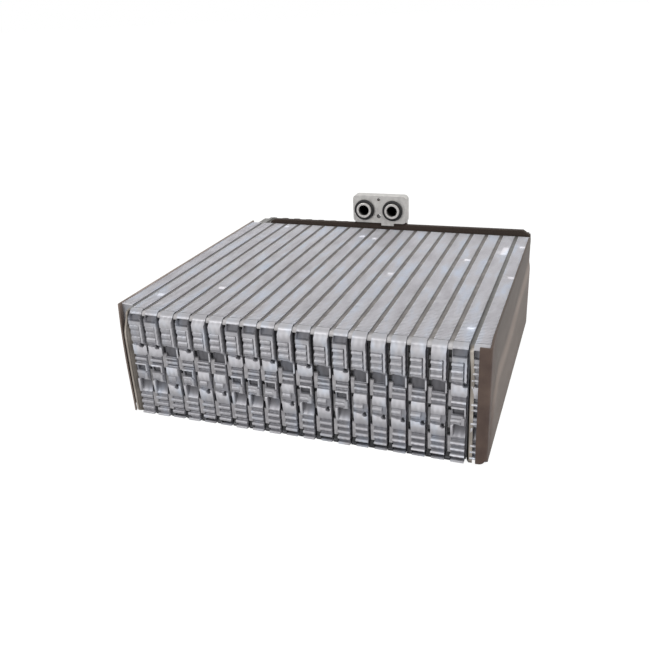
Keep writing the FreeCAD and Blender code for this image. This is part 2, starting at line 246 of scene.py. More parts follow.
# Closed-cell foam: matt and nearly black, with fine cells at its surface.
foam, tree, shader = new_material("closed_cell_foam", Roughness=0.95)
cells = noise_field(tree, 0.9, 3.0)
paint(tree, shader, ramp(tree, cells, [(0.30, "241c18"), (0.75, "3f332b")]), cells, 0.30)
print("finishes:", foil.name, "to", foam.name)

# %% [markdown]
# ## Turning arrays into pieces
# A piece is made as arrays: points in millimetres and faces as rows of point numbers. One function
# makes the mesh, turns all its faces outwards and gives it its material, and another makes the
# object, puts it on the body it rides on and hides the CAD nodes it stands for.

# %% Piece helpers
def mark_hollow(mesh, hollow):
    """Keep a value per point, 0 outside and 1 deep inside, by which the materials paint shade."""
    layer = mesh.attributes.new("hollow", "FLOAT", "POINT")
    layer.data.foreach_set("value", np.asarray(hollow, dtype=np.float32))


def put_piece(name, mesh, stands_for):
    """Object of a mesh, riding on the root body in place of the CAD nodes it stands for."""
    piece = bpy.data.objects.new(name, mesh)
    bpy.context.scene.collection.objects.link(piece)
    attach(piece, "root")
    if stands_for:
        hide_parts(*stands_for)
    return piece


def make_piece(name, points_mm, faces, material, stands_for=(), smooth=False, hollow=None):
    """Piece from an array of points in millimetres and lists of faces."""
    mesh = bpy.data.meshes.new(name)
    rows = faces.tolist() if hasattr(faces, "tolist") else faces
    mesh.from_pydata((np.asarray(points_mm) * MM).tolist(), [], rows)
    mark_hollow(mesh, np.zeros(len(points_mm)) if hollow is None else hollow)
    work = bmesh.new()
    work.from_mesh(mesh)
    bmesh.ops.recalc_face_normals(work, faces=work.faces)
    work.to_mesh(mesh)
    work.free()
    mesh.materials.append(material)
    mesh.polygons.foreach_set("use_smooth", np.full(len(mesh.polygons), smooth))
    mesh.update()
    return put_piece(name, mesh, stands_for)


def grid_faces(rows, columns, offset=0, flip=False):
    """Quads of a grid of rows by columns points numbered row by row from offset."""
    r, c = np.meshgrid(np.arange(rows - 1), np.arange(columns - 1), indexing="ij")
    a = (offset + r * columns + c).ravel()
    quads = np.stack([a, a + 1, a + columns + 1, a + columns], axis=1)
    return quads[:, ::-1] if flip else quads


def node_box(name):
    """Lowest and highest corner of a CAD node, in millimetres."""
    low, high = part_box(name)
    return np.array(low) / MM, np.array(high) / MM


# %% [markdown]
# ## The fin's front wall
# The first fold of each fin faces the front. Its foil is pressed into banks of louvre slats, with
# plain lands between the banks and open windows where the fold behind leaves a gap. A drawing of
# that relief is a height over two numbers: x across the fin and the distance down from its upper
# edge. The wall is then a grid pushed forward by that height and curled back at its upper edge.
# The fins at the left are seen more closed than those at the right, so most sizes change along
# the row: opened goes from 0 at the left to 1 at the right.

# %% Strokes of the relief drawing
RAIL = 0.45
LAND = 0.85
WINDOW_DEPTH = -2.8
BITE_DEPTH = -3.4
HALF_WALL = 4.5


def step(a, b, t):
    """Smooth step from 0 at a to 1 at b: the cubic 3 u squared minus 2 u cubed."""
    u = np.clip((t - a) / (b - a), 0.0, 1.0)
    return u * u * (3.0 - 2.0 * u)


def patch(x, down, x0, x1, d0, d1, edge=0.22):
    """Mask that is 1 inside a rectangle and falls to 0 over its edge."""
    return (step(x0 - edge, x0 + edge, x) * (1 - step(x1 - edge, x1 + edge, x))
            * step(d0 - edge, d0 + edge, down) * (1 - step(d1 - edge, d1 + edge, down)))


def lay(height, value, mask):
    """Blend a height towards a value by a mask."""
    return height + (value - height) * mask


def slats(height, x, down, rows, x0, x1, d0, d1, wobble, opened, trough, rise):
    """Bank of slats: a trough with a flat-topped lip standing out of it at each row, the fourth
    power of the distance giving the lip its flat top. Opened slats are narrower and have a ridge
    under the lip."""
    height = lay(height, trough, patch(x, down, x0, x1, d0, d1))
    width = 1.75 - 0.65 * opened
    for i, row in enumerate(rows):
        lip = np.exp(-((down - row) / width) ** 4) + 0.2 * opened * np.exp(-((down - row - 2.3) / 0.6) ** 2)
        lips = trough + (rise + wobble[i] - trough) * lip
        height = np.maximum(height, lay(WINDOW_DEPTH, lips, patch(x, down, x0, x1, d0 - 1, d1 + 1)))
    return height


def land(height, x, down, x0, x1, d0, d1, ears=0.0, power=1.5, high=LAND, fall=0.9):
    """Plain land: it stands out most at its upper edge and leans back towards its foot by fall times
    that height, the later the higher the power. The upper edge sags by ears between its corners."""
    bulge = (x / HALF_WALL) ** 2
    t = np.clip((down - d0) / (d1 - d0), 0.0, 1.0)
    face = high * (1.0 - fall * t ** power) * (1.0 - 0.2 * bulge)
    return lay(height, face, patch(x, down, x0, x1, d0 + ears * (1.0 - bulge), d1))


def window(height, x, down, x0, x1, d0, d1, arch=0.0, foot=0.7, power=1.0):
    """Window: its foil is pushed in like a flap, deepest at the upper edge and only foot times as
    deep at the lower one, the later the higher the power. The upper edge drops by arch to the right."""
    top = d0 + arch * np.clip((x - x0) / (x1 - x0), 0.0, 1.0) ** 2
    flap = WINDOW_DEPTH * (1.0 - (1.0 - foot) * np.clip((down - d0) / (d1 - d0), 0.0, 1.0) ** power)
    return lay(height, flap, patch(x, down, x0, x1, top, d1))


def bite(height, x, down, at_x, at_down, wide=1.4, tall=1.3):
    """Small round bite out of a land's upper edge."""
    away = np.hypot((x - at_x) / wide, (down - at_down) / tall)
    return lay(height, BITE_DEPTH, 1 - step(0.8, 1.1, away))


# %% Relief of the front wall
WALL_BASE = -1.2
UPPER_ROWS = (14.2, 18.9, 23.6)
MIDDLE_ROW = (40.6,)
INNER_ROW = (54.5,)
LOWER_ROWS = (70.9, 75.6, 80.3)
LOWER_SAG = (0.2, 0.6, 0.9)
BEYOND = 99.0


def row_shift(down, opened):
    """How much higher the middle rows sit on the closed fins at the left."""
    return 1.5 * (1 - opened) * (step(28.0, 46.0, down) - step(54.0, 66.0, down))


def relief(x, down, turned, wobble, opened):
    """Height of the front wall in millimetres, towards the viewer, at x across and down from the top.
    It is drawn from the upper edge to the foot, and a turned fin swaps its lands and windows."""
    down = down + row_shift(down, opened)
    bite_x = 1.2 + 2.1 * opened
    upper_trough, lower_trough = -1.0 + 0.25 * opened, -2.0 + 0.4 * opened
    upper_rise, middle_rise, lower_rise = -0.6 + 1.25 * opened, -0.3 + 1.2 * opened ** 2, -0.6 + 1.5 * opened
    h = np.full(np.broadcast(x, down).shape, WALL_BASE)
    # Upper land under the curl, upper bank and its rail
    if turned:
        h = land(h, x, down, -4.9, 4.9, -6.0, 12.3, high=0.35)
        h = window(h, x, down, -4.2, 4.3, 3.4, 8.9)
    else:
        h = land(h, x, down, -4.9, 4.9, -6.0, 12.3, power=4.0)
    h = slats(h, x, down, UPPER_ROWS, -4.9, 2.5, 12.3, 25.8, wobble[0:3], opened, upper_trough, upper_rise)
    h = lay(h, RAIL, patch(x, down, 3.0, 4.9, 12.0, 26.2))
    # Second land or window, and the single slat under it
    if turned:
        h = land(h, x, down, -4.7, 4.7, 27.2, 36.4, ears=0.8, power=3.0, high=0.72)
        h = bite(h, x, down, bite_x, 28.0)
    else:
        h = window(h, x, down, -4.5, 3.2, 26.6, 35.2, arch=1.8, foot=1.12)
        h = lay(h, RAIL, patch(x, down, 3.4, 4.9, 27.5, 35.2))
        h = lay(h, 0.0, patch(x, down, -4.6, 4.6, 35.9, 37.4))
    h = slats(h, x, down, MIDDLE_ROW, -4.7, 4.7, 37.6, 43.2, wobble[3:4], opened, lower_trough, middle_rise)
    # Framed window or third land, and the short slat under it
    if turned:
        h = lay(h, 0.6, patch(x, down, -4.7, 4.7, 43.9, 45.5))
        h = lay(h, 0.5, patch(x, down, 3.4, 4.7, 43.9, 50.2))
        h = window(h, x, down, -3.6, 3.3, 46.1, 50.0, foot=1.15)
        h = lay(h, 0.0, patch(x, down, -4.6, 3.0, 50.5, 56.0))
        h = lay(h, 0.0, patch(x, down, 0.5, 4.0, 52.0, 57.6))
    else:
        h = land(h, x, down, -4.7, 4.7, 44.1, 51.5, power=2.0)
    h = slats(h, x, down, INNER_ROW, -4.7, 1.6, 52.8, 56.8, wobble[4:5], opened, upper_trough, upper_rise)
    # Fourth window or land, and the lower bank
    if turned:
        h = land(h, x, down, -4.6, -2.9, 57.2, 67.0)
        h = window(h, x, down, -2.7, 4.6, 57.6, 66.6, arch=1.0, foot=0.05, power=2.3)
    else:
        h = land(h, x, down, -4.7, 4.7, 58.0, 67.6, ears=1.0, power=2.0, fall=1.8)
        h = bite(h, x, down, bite_x, 59.6)
    rows = [row + sag * (1.0 - opened) for row, sag in zip(LOWER_ROWS, LOWER_SAG)]
    h = slats(h, x, down, rows, -4.9, 4.9, 68.4, 82.6, wobble[5:8], opened, lower_trough, lower_rise)
    # Groove and foot rim
    h = lay(h, -1.0 - 1.2 * opened if turned else -3.0, patch(x, down, -4.9, 4.9, 82.5, BEYOND))
    return lay(h, 0.5 if turned else -0.2, patch(x, down, -4.6, 4.7, 83.8 if turned else 84.1, BEYOND))


# %% Front wall of a fin as a grid
# The wall's left and right edge at some distances down, at the left of the row, and their change
# to its right. The left edge never comes in further than its stop.
EDGE_ROWS = (0, 2.5, 7, 25.5, 28, 34.5, 36.5, 43, 47, 56.5, 59, 66, 69, 86)
LEFT_EDGE = np.array([-4.85, -4.85, -7.4, -7.4, -6.4, -6.4, -7.0, -7.0, -6.8, -6.8, -7.0, -7.0, -7.2, -7.2])
LEFT_CHANGE = np.array([0, 0, 2.4, 2.4, 1.2, 1.2, 4.8, 4.8, 2.0, 2.0, 2.0, 2.0, 4.8, 4.8])
LEFT_STOP = -4.6
RIGHT_EDGE = np.array([4.85, 4.85, 2.3, 2.3, 5.1, 5.1, 2.6, 2.6, 2.1, 2.1, 3.5, 3.5, 2.4, 2.4])
RIGHT_CHANGE = np.array([0, 0, 2.0, 2.0, 0, 0, 1.8, 1.8, 2.6, 2.6, 1.0, 1.0, 1.9, 1.9])
CURL = 3.5
CURL_STEPS = 12
WALL_SETBACK = 1.2
WALL_DEPTH = 5.6
FRONT_MARGIN = 0.02
BACK_MARGIN = 0.25
ROW_STEP = 0.3
COLUMNS = np.array([-1, -0.975, -0.94, -0.88, -0.82, -0.76, -0.66, -0.56, -0.52, -0.48, -0.44, -0.36, -0.24,
                    -0.12, 0.0, 0.1, 0.2, 0.32, 0.40, 0.44, 0.48, 0.52, 0.58, 0.68, 0.76, 0.82, 0.88,
                    0.94, 0.975, 1])
SLAT_ROWS = np.array(UPPER_ROWS + MIDDLE_ROW + INNER_ROW + LOWER_ROWS)
SLAT_REACH = 0.3
WOBBLE = 0.09
RIPPLE = 0.10
# Painted shade of the front wall: the hollow value at each height of its relief, more where it lies further
# back.
HEIGHTS = (-3.4, -2.8, -1.8, -1.0, -0.2, 0.4, 0.85, 1.0)
HOLLOWS = (1.0, 0.80, 0.64, 0.48, 0.30, 0.19, 0.09, 0.05)


def slat_ends(down):
    """How far the wall's edges stand out sideways where a slat ends: one rounded bump per slat."""
    return np.exp(-((down[:, None] - SLAT_ROWS[None, :]) / 1.1) ** 2).sum(axis=1)


def wall_edges(down, opened):
    """Left and right edge of each row of points, because the banks were pressed out of line."""
    down = down + row_shift(down, opened)
    left = np.interp(down, EDGE_ROWS, np.minimum(LEFT_EDGE + opened * LEFT_CHANGE, LEFT_STOP))
    return left, np.interp(down, EDGE_ROWS, RIGHT_EDGE + opened * RIGHT_CHANGE)


def wall_hollow(height, down, opened):
    """Painted shade from the height, darker further back, with a painted highlight near the curl and a
    little painted shade right under it.
    """
    curl_highlight = rng.uniform(0.60, 0.85)
    hollow = np.interp(height, HEIGHTS, HOLLOWS) * (curl_highlight + (1.0 - curl_highlight) * step(1.0, 8.0, down))[:, None]
    curl_shade = 0.06 + 0.12 * max(0.0, 1.0 - 5.0 * opened)
    return hollow + curl_shade * (step(0.0, 1.0, down) - step(3.0, 6.0, down))[:, None]


def front_wall(middle, front, low, high, turned, opened, half):
    """Closed wall: a grid follows the front profile, straight up, round the curl and back, and is
    pushed out along the profile's normal by the relief; a flat back and two sides close it."""
    straight = np.arange(low, high - CURL, ROW_STEP)
    angle = np.linspace(0.0, math.pi / 2.0, CURL_STEPS)
    face = front + WALL_SETBACK
    y = np.concatenate([np.full(len(straight), face), face + CURL * (1 - np.cos(angle)),
                        [front + WALL_DEPTH - BACK_MARGIN]])
    z = np.concatenate([straight, high - CURL + CURL * np.sin(angle), [high]])
    out = np.concatenate([np.zeros(len(straight)), angle, [math.pi / 2.0]])
    rows, columns = len(y), len(COLUMNS)
    down = high - z
    across = COLUMNS[None, :] * HALF_WALL + np.zeros((rows, 1))
    wobble = rng.normal(0.0, WOBBLE, 9)
    fade = (1 - step(0.2, 1.2, out))[:, None]
    height = relief(across, down[:, None], turned, wobble, opened) * fade
    wave = np.sin(across * 1.7 + rng.uniform(0, 6)) * np.sin(z[:, None] * 0.35 + rng.uniform(0, 6))
    height = np.minimum(height + RIPPLE * wave * fade, WALL_SETBACK - FRONT_MARGIN)
    left, right = wall_edges(down, opened)
    rim = np.clip((np.abs(COLUMNS) - 0.9) / 0.1, 0.0, 1.0) * np.sign(COLUMNS)
    x = left[:, None] + (right - left)[:, None] * (COLUMNS[None, :] + 1.0) / 2.0
    x = x + SLAT_REACH * rim[None, :] * slat_ends(down)[:, None]
    points = np.stack([middle + x, y[:, None] - height * np.cos(out)[:, None],
                       z[:, None] + 0 * x], axis=-1).reshape(-1, 3)
    hollow = wall_hollow(height, down, opened).ravel()
    # A flat back of two columns, numbered in pairs from the foot up, and the faces that close it
    start = len(points)
    back = np.array([(middle + side, front + WALL_DEPTH, level) for level in np.linspace(low, high, rows)
                     for side in (-half, half)])
    points = np.concatenate([points, back])
    # The back is painted fully dark as shade, but for its two upper corners.
    hollow = np.concatenate([hollow, np.ones(len(back) - 2), hollow[-2:]])
    r = np.arange(rows - 1)
    first, last = r * columns, r * columns + columns - 1
    back_left, back_right = start + 2 * r, start + 2 * r + 1
    faces = np.concatenate([
        grid_faces(rows, columns),
        np.stack([back_left, back_left + 2, back_right + 2, back_right], axis=1),
        np.stack([first, first + columns, back_left + 2, back_left], axis=1),
        np.stack([last, back_right, back_right + 2, last + columns], axis=1)]).tolist()
    faces.append(list(range(columns))[::-1] + [start, start + 1])
    top = (rows - 1) * columns
    faces.append(list(range(top, top + columns)) + [start + 2 * rows - 1, start + 2 * rows - 2])
    return points, faces, hollow


# %% [markdown]
# ## The folded foil behind it
# Behind the front wall the foil runs to and fro between two tubes, with a fold every 1.2 mm. A
# zigzag line in plan, given a thickness and a height, is the whole fin. The upper and lower edges
# get small random bends, because thin foil is easily knocked, and those bends catch the light.

# %% Folded foil as a grid
FOLD = 1.15
FOIL = 0.34
CREST = 0.22
BENT_EDGE = 1.3
EDGE_SWAY = 0.05
EDGE_BEND = np.array([-0.6, 0.0, 0.0, 1.0])
# Painted shade down inside the folds, with the upper and lower edges left light.
EDGE_HOLLOW = np.array([0.0, 0.37, 0.37, 0.0])


def shell_faces(rows, columns):
    """Faces of a closed shell of two grids, numbered one after the other: both grids and the four
    rims that join them."""
    other = rows * columns
    faces = [grid_faces(rows, columns), grid_faces(rows, columns, other, True)]
    i, j = np.arange(rows - 1) * columns, np.arange(columns - 1)
    last_row, last_column = (rows - 1) * columns, columns - 1
    for a, b in ((i, i + columns), (i + last_column, i + columns + last_column), (j, j + 1),
                 (j + last_row, j + 1 + last_row)):
        faces.append(np.stack([a, b, b + other, a + other], axis=1))
    return np.concatenate(faces)


def folded_foil(middle, start, end, low, high, reach, knocks):
    """Closed zigzag sheet: each fold's crest is two points at plus or minus reach, joined to the next
    crest on the other side; the sheet is offset half its thickness along its normal both ways. The
    edges lean by a small random amount, and by more where the foil was knocked."""
    folds = int(round((end - start) / FOLD))
    crest = start + (np.arange(folds) + 0.5) * (end - start) / folds
    side = np.where(np.arange(folds) % 2 == 0, 1.0, -1.0)
    half_pitch = (end - start) / folds / 2.0
    y = np.stack([crest - CREST, crest + CREST, crest + half_pitch], axis=1).ravel()[:-1]
    x = np.stack([side, side, 0 * side], axis=1).ravel()[:-1] * (reach - FOIL / 2.0)
    along = np.stack([np.gradient(x), np.gradient(y)], axis=1)
    along /= np.linalg.norm(along, axis=1)[:, None]
    normal = np.stack([along[:, 1], -along[:, 0]], axis=1) * FOIL / 2.0
    levels = np.array([low, low + BENT_EDGE, high - BENT_EDGE, high])
    knock = np.repeat(rng.normal(0.0, EDGE_SWAY, folds), 3)[:-1]
    for at_x, at_y, wide, long, lean in knocks:
        knock += lean * np.exp(-((x - at_x) / wide) ** 2 - ((y - at_y) / long) ** 2)
    points = np.zeros((2, len(x), len(levels), 3))
    for sheet, sign in zip(points, (1.0, -1.0)):
        sheet[:, :, 0] = (middle + x + sign * normal[:, 0])[:, None]
        sheet[:, :, 1] = (y + sign * normal[:, 1])[:, None] + knock[:, None] * EDGE_BEND[None, :]
        sheet[:, :, 2] = levels[None, :]
    points[..., 1] = np.clip(points[..., 1], start, end)
    hollow = np.zeros(points.shape[:3]) + EDGE_HOLLOW
    return points.reshape(-1, 3), shell_faces(len(x), len(levels)), hollow.ravel()


# %% Build the fins
# A turned fin starts with a window where its neighbour has a land, as the real ones were put in
# either way round. The leftmost fin has no front wall, because it starts behind its end plate's
# edge, and the rightmost one shows only a narrow strip of its wall beside the flange. A knock is
# its place across and along the fin, its width and length, and how far the edge leans there. The
# walls stand a sheet's thickness behind the flange, and BACK_HALF is half the width of their flat
# back at the left. The last wall, beside the flange, is shifted and has a foot and back of its own.
TURNED = (0, 1, 1, 0, 1, 0, 0, 1, 1, 1, 0, 1, 0, 1, 0, 0, 0, 0, 0, 1, 1)
KNOCKS = {2: [(0.0, -103.4, 2.0, 1.8, 1.0)], 4: [(-4.5, 90.8, 2.0, 1.8, 1.2)],
          5: [(0.0, -79.2, 1.6, 1.5, 1.1)], 10: [(0.0, 72.3, 1.8, 1.8, 1.2)],
          11: [(0.0, 68.4, 1.5, 1.5, 1.0), (4.5, 46.0, 3.0, 5.0, 0.5)], 14: [(0.0, -20.0, 2.0, 3.0, 0.4)],
          18: [(0.0, 25.5, 2.0, 1.5, 0.9)], 19: [(4.5, 23.1, 2.0, 1.6, 1.0)],
          20: [(0.0, 60.0, 3.0, 4.5, 0.8), (0.0, 51.0, 4.0, 4.5, 1.5), (0.0, -110.0, 2.5, 3.0, 0.5)],
          21: [(0.0, -9.5, 2.6, 1.5, 1.5), (0.0, 67.7, 1.6, 2.0, 0.6)]}
SHEET = 1.5
WALL_GAP = 0.1
FIRST_SETBACK = 0.2
BACK_HALF = 4.6
BACK_CHANGE = -0.45
LAST_SHIFT = -0.1
LAST_FOOT = 2.4
LAST_BACK = 4.4
fin_nodes = sorted(name for name in nodes if name.startswith("fin_"))
core_low, core_high = node_box(fin_nodes[1])
plate_low, plate_high = node_box("end_plate_right")
front_y = plate_low[1] + SHEET
fin_faces = 0
for number, name in enumerate(fin_nodes):
    low, high = node_box(name)
    middle = (low[0] + high[0]) / 2.0
    opened = number / (len(fin_nodes) - 1.0)
    start = front_y + WALL_DEPTH + WALL_GAP
    if number == 0:
        start = low[1] + FIRST_SETBACK
        walls = (np.zeros((0, 3)), [], np.zeros(0))
    elif number == len(fin_nodes) - 1:
        walls = front_wall(middle + LAST_SHIFT, front_y, LAST_FOOT, core_high[2], TURNED[number], opened,
                           LAST_BACK)
    else:
        walls = front_wall(middle, front_y, core_low[2], core_high[2], TURNED[number], opened,
                           BACK_HALF + BACK_CHANGE * opened)
    folds = folded_foil(middle, start, high[1], core_low[2], core_high[2], (high[0] - low[0]) / 2.0,
                        KNOCKS.get(number + 1, []))
    faces = walls[1] + (folds[1] + len(walls[0])).tolist()
    make_piece("fin_detail_%02d" % (number + 1), np.concatenate([walls[0], folds[0]]), faces, foil,
               [name], hollow=np.concatenate([walls[2], folds[2]]))
    fin_faces += 2 * len(faces)
print("fins:", len(fin_nodes), "about", fin_faces, "triangles")

# %% [markdown]
# ## Pieces that keep their CAD shape
# The tubes, the tank caps and the pipes' saddle already have the right form. They only get their
# finish, by putting the material into the object's slots. Bent copies replace two tubes later on.

# %% Dress the CAD nodes
def dress(name, material):
    """Give a CAD node one material."""
    node = nodes[name]
    if len(node.material_slots) == 0:
        node.data.materials.append(material)
    for slot in node.material_slots:
        slot.material = material


finishes = {"flat_tube": plate_skin, "tank_cap": plate_skin, "pipe_saddle": tube_metal}
dressed = 0
for name in sorted(nodes):
    for start, material in finishes.items():
        if name.startswith(start):
            dress(name, material)
            dressed += 1
print("dressed CAD nodes:", dressed)

# %% [markdown]
# ## The tubes' front lips
# Where the two plates of a tube meet at the front, their brazed lip shows as a grey strip in the
# slot between two fins. It is knocked back to the dark at several places, the same on every
# tube. Each lip is a narrow bar whose front follows a list of depths from top to foot, and it
# spreads into a wider foot at the end.

# %% Brazed lips of the inner tubes
LIP_DOWN = np.array([4.6, 5.0, 9.6, 10.6, 13.4, 14.0, 19.0, 19.6, 27.6, 28.2, 32.0, 32.8, 44.2, 44.8, 47.0,
                     47.6, 60.6, 61.2, 65.6, 66.4, 78.6, 79.2, 85.2])
LIP_DEPTH = np.array([2.6, 5.6, 5.6, 3.2, 3.2, 5.6, 5.6, 3.4, 2.8, 4.6, 4.6, 1.9, 1.9, 5.6, 5.6,
                      2.7, 2.5, 5.6, 5.6, 1.9, 1.9, 2.4, 2.0])
LIP_ROUND = np.array([0.5, 0.0, 0.0, 0.5])
LIP_LEFT_END = np.array([-2.9, -2.5, 0.6, 1.0])
LIP_CHANGE = np.array([2.75, 2.75, 1.35, 1.25])
LIP_FOOT = np.array([-2.2, -2.0, 2.0, 2.2])
LIP_BACK = 6.4
LIP_SWAY = 0.12
FOOT_FROM = 79.0


def lip_bar(centre, along):
    """Closed bar: front points at the lip's depth, a little deeper at its rounded sides, and a
    straight back in the tube's own body. Along, from 0 at the left, narrows the lip and lets its
    painted shade range further, both lighter and darker."""
    lip_x = LIP_LEFT_END + LIP_CHANGE * min(0.8, along)
    rows, columns = len(LIP_DOWN), len(lip_x)
    in_foot = LIP_DOWN > FOOT_FROM
    sway = rng.normal(0.0, LIP_SWAY, rows)[:, None]
    foot = step(78.5, 80.0, LIP_DOWN)[:, None] * LIP_FOOT[None, :]
    x = centre + np.where(in_foot[:, None], foot, lip_x[None, :]) + sway
    y = front_y + LIP_DEPTH[:, None] + LIP_ROUND[None, :] + 0 * x
    z = core_high[2] - LIP_DOWN[:, None] + 0 * x
    front = np.stack([x, y, z], axis=-1).reshape(-1, 3)
    back = front.copy()
    back[:, 1] = front_y + LIP_BACK
    # Painted shade by depth: the further back the lip, the darker; its foot is painted dark as shade and its
    # back fully dark.
    hollow = np.interp(LIP_DEPTH, (1.9, 2.6, 3.6, 5.6), (0.1, 0.35, 0.45, 1.0))
    hollow = np.clip(hollow, 0.22 * (1.0 - 1.4 * along), 0.62 + 0.7 * along)
    hollow = np.repeat(np.where(in_foot, 0.8, hollow), columns)
    return np.concatenate([front, back]), shell_faces(rows, columns), np.append(hollow, hollow * 0 + 1.0)


tube_nodes = sorted(name for name in nodes if name.startswith("flat_tube_"))
inner_tubes = tube_nodes[1:-1]
for number, name in enumerate(inner_tubes):
    low, high = node_box(name)
    points, faces, hollow = lip_bar((low[0] + high[0]) / 2.0, number / (len(inner_tubes) - 1.0))
    make_piece("tube_lip_detail_" + name[-2:], points, faces, lip_skin, hollow=hollow)
print("lips:", len(inner_tubes))

# %% [markdown]
# ## The two outermost tubes
# Each outermost tube reaches the front, and the edge of its outer plate is bent away from the fins,
# by about 4 mm on the left. A merged copy of the CAD mesh is cut into bands near its front, and
# the points there are moved sideways by a smooth bow.

# %% Bent front edges of the outermost tubes
EDGE_THICKNESS = 1.4
EDGE_ZONE = 9.0
BAND_DEPTH = 1.5
BAND_HEIGHT = 4.0


def merged_copy(name, piece_name, material, cuts):
    """Copy of a CAD node's mesh with its doubles merged and its flat faces joined, cut across at
    each (axis, place in millimetres), which gives it points there; also its points in millimetres."""
    mesh = nodes[name].data.copy()
    mesh.name = piece_name
    mesh.materials.clear()
    mesh.materials.append(material)
    work = bmesh.new()
    work.from_mesh(mesh)
    bmesh.ops.remove_doubles(work, verts=work.verts, dist=1e-6)
    bmesh.ops.dissolve_limit(work, angle_limit=math.radians(1.0), verts=work.verts, edges=work.edges)
    for axis, place in cuts:
        normal = np.eye(3)[axis]
        bmesh.ops.bisect_plane(work, geom=work.verts[:] + work.edges[:] + work.faces[:], dist=1e-7,
                               plane_co=normal * place * MM, plane_no=normal)
    work.to_mesh(mesh)
    work.free()
    places = np.zeros(len(mesh.vertices) * 3)
    mesh.vertices.foreach_get("co", places)
    return mesh, places.reshape(-1, 3) / MM


def bent_tube(name, piece_name, amount, foot, spread, shade):
    """Copy of a tube whose front edge is bowed sideways by an amount in millimetres: a rise from the
    upper end, a long middle and a return by foot at the lower end, fading to nothing 8.5 mm behind
    the edge. With spread, only the outer plate reaches the front: the inner side falls back to it,
    darkened by painted shade as strong as shade."""
    cuts = [(Y, y) for y in np.arange(front_y + BAND_DEPTH, front_y + EDGE_ZONE, BAND_DEPTH)]
    cuts += [(Z, z) for z in np.arange(3.0, 84.0, BAND_HEIGHT)]
    mesh, places = merged_copy(name, piece_name, edge_skin, cuts)
    down = core_high[2] - places[:, 2]
    behind = places[:, 1] - front_y
    bow = step(1.0, 22.0, down) * (1 - foot * step(45.0, 84.0, down)) * (1 - step(1.0, 8.5, behind))
    near = places[behind < EDGE_ZONE, 0]
    outer, inner = (near.min(), near.max()) if amount < 0 else (near.max(), near.min())
    inward = np.clip((places[:, 0] - outer) / (inner - outer), 0.0, 1.0) * spread
    thin = (abs(inner - outer) - EDGE_THICKNESS) * (1 - step(0.5, 6.0, behind))
    places[:, 0] += amount * bow - np.sign(inner - outer) * thin * inward
    mark_hollow(mesh, shade * inward * step(0.3, 1.6, behind) * (behind < 12.0))
    mesh.vertices.foreach_set("co", (places * MM).ravel())
    mesh.update()
    put_piece(piece_name, mesh, [name])


bent_tube(tube_nodes[0], "end_tube_detail_left", -4.2, foot=0.1, spread=1.0, shade=0.22)
bent_tube(tube_nodes[-1], "end_tube_detail_right", 1.2, foot=-0.3, spread=0.5, shade=0.95)
print("outermost tubes:", tube_nodes[0], "and", tube_nodes[-1])

# %% [markdown]
# ## The right end plate
# The right end plate is pressed sheet, folded round the front corner into a flange. A flat plate
# would reflect the room evenly, but the real one is slightly drawn in above a wavy line, and the
# slope along that line shows as a lighter band, helped by a painted highlight along it. The sheet is
# one grid that follows the plate's plan, panel, bend and flange, and is given its thickness by a
# second grid behind it.

# %% Right end plate as a bent sheet
BEND = 2.4
FLANGE = 7.6
REAR_CORNER = 5.0
FRONT_CORNER = 3.2
WAVE_Y = np.array([-138.0, -134.0, -125.0, -116.0, -104.0, -92.0, -54.0, -19.0, 20.0, 60.0, 104.0])
WAVE_Z = np.array([4.0, 8.0, 22.0, 35.0, 42.0, 48.0, 47.0, 48.0, 53.0, 55.0, 60.0])


def drawn_in(y, z):
    """Depth by which the panel is drawn in: a smooth step of 1.2 mm over the wavy line, with a
    second, shallower swell towards the upper edge."""
    over = z - np.interp(y, WAVE_Y, WAVE_Z)
    return step(-136.0, -118.0, y) * (1.2 * step(-5.0, 5.0, over) - 0.4 * step(8.0, 26.0, over))


def panel_hollow_value(y, z):
    """Hollow value of the panel: a painted highlight along the wavy line, darker above it, and darker again
    under the upper edge towards the front.
    """
    over = z - np.interp(y, WAVE_Y, WAVE_Z)
    lighter_band = 0.045 * np.exp(-((over + 1.0) / 4.5) ** 2) * step(-137.0, -126.0, y)
    darker_parts = 0.03 * step(2.0, 10.0, over) + 0.12 * step(72.0, 84.0, z) * (1 - step(-90.0, 0.0, y))
    return 0.175 - lighter_band + darker_parts


def break_edges(piece, width_mm):
    """Small bevel on a piece's sharp edges, which catches a line of light."""
    edge = piece.modifiers.new("broken edge", "BEVEL")
    edge.width = width_mm * MM
    edge.segments = 2
    edge.limit_method = "ANGLE"
    edge.angle_limit = math.radians(50)


def sheet_piece(outer, inner, name, stands_for, hollow):
    """Closed sheet from two grids of points, its outside and its inside, joined round their rims."""
    points = np.concatenate([outer.reshape(-1, 3), inner.reshape(-1, 3)])
    piece = make_piece(name, points, shell_faces(*outer.shape[:2]), coat, [stands_for],
                       smooth=True, hollow=np.append(hollow, hollow))
    break_edges(piece, width_mm=0.25)


panel_y = np.linspace(plate_high[1], plate_low[1] + BEND, 110)
turn = np.linspace(0.0, math.pi / 2.0, 9)[1:]
flange_x = np.linspace(plate_high[0] - BEND, plate_high[0] - FLANGE, 6)[1:]
path_x = np.concatenate([np.full(len(panel_y), plate_high[0]), plate_high[0] - BEND + BEND * np.cos(turn),
                         flange_x])
path_y = np.concatenate([panel_y, plate_low[1] + BEND - BEND * np.sin(turn),
                         np.full(len(flange_x), plate_low[1])])
facing = np.concatenate([np.zeros(len(panel_y)), turn, np.full(len(flange_x), math.pi / 2.0)])
corner = np.exp(-(((path_x - plate_high[0]) + (path_y - plate_low[1])) / 2.6) ** 2)
near_front = step(0.0, 0.5, facing + 0.5 * (path_y < plate_low[1] + 4.0))
lower = plate_low[2] + FRONT_CORNER * corner * near_front
upper = plate_high[2] - np.clip(REAR_CORNER - (plate_high[1] - path_y), 0.0, REAR_CORNER)
